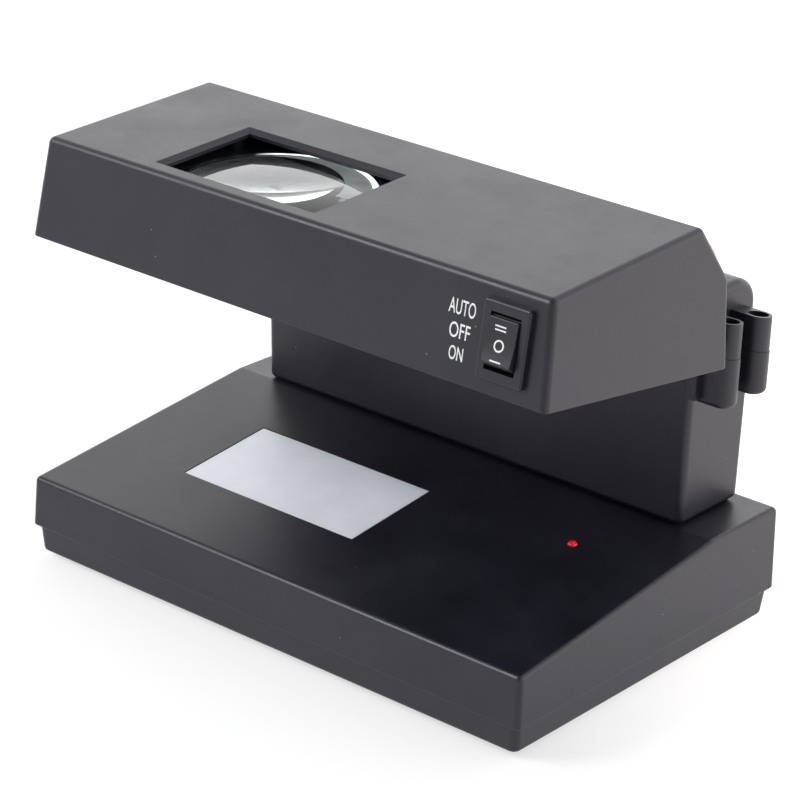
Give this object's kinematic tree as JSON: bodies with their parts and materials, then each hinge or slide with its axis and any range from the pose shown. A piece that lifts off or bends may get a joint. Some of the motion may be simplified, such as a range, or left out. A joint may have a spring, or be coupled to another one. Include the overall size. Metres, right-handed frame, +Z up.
{
  "type": "counterfeit bill detector",
  "caption": "Desktop banknote checker: wedge base with lit diffuser, rear column, overhanging lamp head with magnifier window, rocker switch and magnetic sensor.",
  "frame": {"origin": "on the surface the detector stands on, under the middle of its bounding box", "axes": "+Z up, +X to the user's right, the user sits on the -Y side"},
  "size_m": [0.1866, 0.1248, 0.1333],
  "materials": {
    "black_abs": "fine matte texture, satin sheen, moulded ABS",
    "black_abs_plain": "smooth satin moulded ABS",
    "black_nylon": "dull moulded nylon",
    "switch_plastic": "fine satin nylon",
    "switch_plastic_key": "fine satin nylon with white markings",
    "white_plastic": "white moulded plastic",
    "milky_diffuser": "milky acrylic, satin",
    "foot_rubber": "soft rubber",
    "screw_steel": "zinc plated",
    "spring_steel": "bright drawn wire",
    "circuit_board": "green solder resist",
    "component_black": "moulded component bodies",
    "ferrite": "grey ferrite",
    "copper_winding": "enamelled copper wire",
    "white_led": "phosphor under clear resin",
    "red_led": "clear red resin, lit",
    "plated_brass": "nickel plated brass",
    "optical_glass": "clear polished glass",
    "uv_glass": "dark violet filter glass",
    "bare_aluminium": "drawn, dull",
    "bright_aluminium": "polished reflector sheet",
    "sensor_metal": "drawn and ground"
  },
  "bodies": {
    "housing": {"base_top_shell": "black_abs", "base_bottom_tray": "black_abs", "rubber_feet": "foot_rubber", "base_screws": "screw_steel", "control_board": "circuit_board", "transformer_core": "ferrite", "transformer_bobbin": "copper_winding", "control_board_parts": "component_black", "buzzer": "component_black", "board_screws": "screw_steel", "watermark_diffuser": "milky_diffuser", "light_box": "white_plastic", "watermark_led_board": "circuit_board", "watermark_leds": "white_led", "indicator_led": "red_led", "indicator_led_holder": "black_nylon", "power_inlet": "black_nylon", "inlet_pins": "plated_brass", "column": "black_abs", "column_screws": "screw_steel", "ballast_board": "circuit_board", "ballast_transformer": "ferrite", "ballast_parts": "component_black", "upper_housing": "black_abs", "magnifier_lens": "optical_glass", "lens_holder": "black_nylon", "lens_holder_screws": "screw_steel", "head_bottom_cover": "black_abs_plain", "head_cover_screws": "screw_steel", "ear_screws": "screw_steel", "uv_tube": "uv_glass", "uv_tube_caps": "bare_aluminium", "uv_tube_pins": "plated_brass", "lamp_holders": "white_plastic", "lamp_reflector": "bright_aluminium", "rocker_switch_body": "switch_plastic", "switch_terminals": "plated_brass", "magnetic_head": "sensor_metal", "magnetic_head_bracket": "bare_aluminium", "magnetic_head_screw": "screw_steel"},
    "rocker": {"rocker": "switch_plastic_key", "rocker_plunger": "plated_brass", "rocker_spring": "spring_steel"},
    "contact": {"contact_rocker": "plated_brass"}
  },
  "joints": [
    {"name": "rocker_tilt", "type": "hinge", "parent": "housing", "child": "rocker", "pos_m": [0.0777, -0.0558, 0.11549], "axis": [1, 0, 0], "range_deg": [0, 14]},
    {"name": "contact_tilt", "type": "hinge", "parent": "housing", "child": "contact", "pos_m": [0.0777, -0.0455, 0.11409], "axis": [1, 0, 0], "range_deg": [-7, 0]}
  ],
  "couplings": [
    {"joint": "contact_tilt", "follows": "rocker_tilt", "ratio": -0.5}
  ]
}
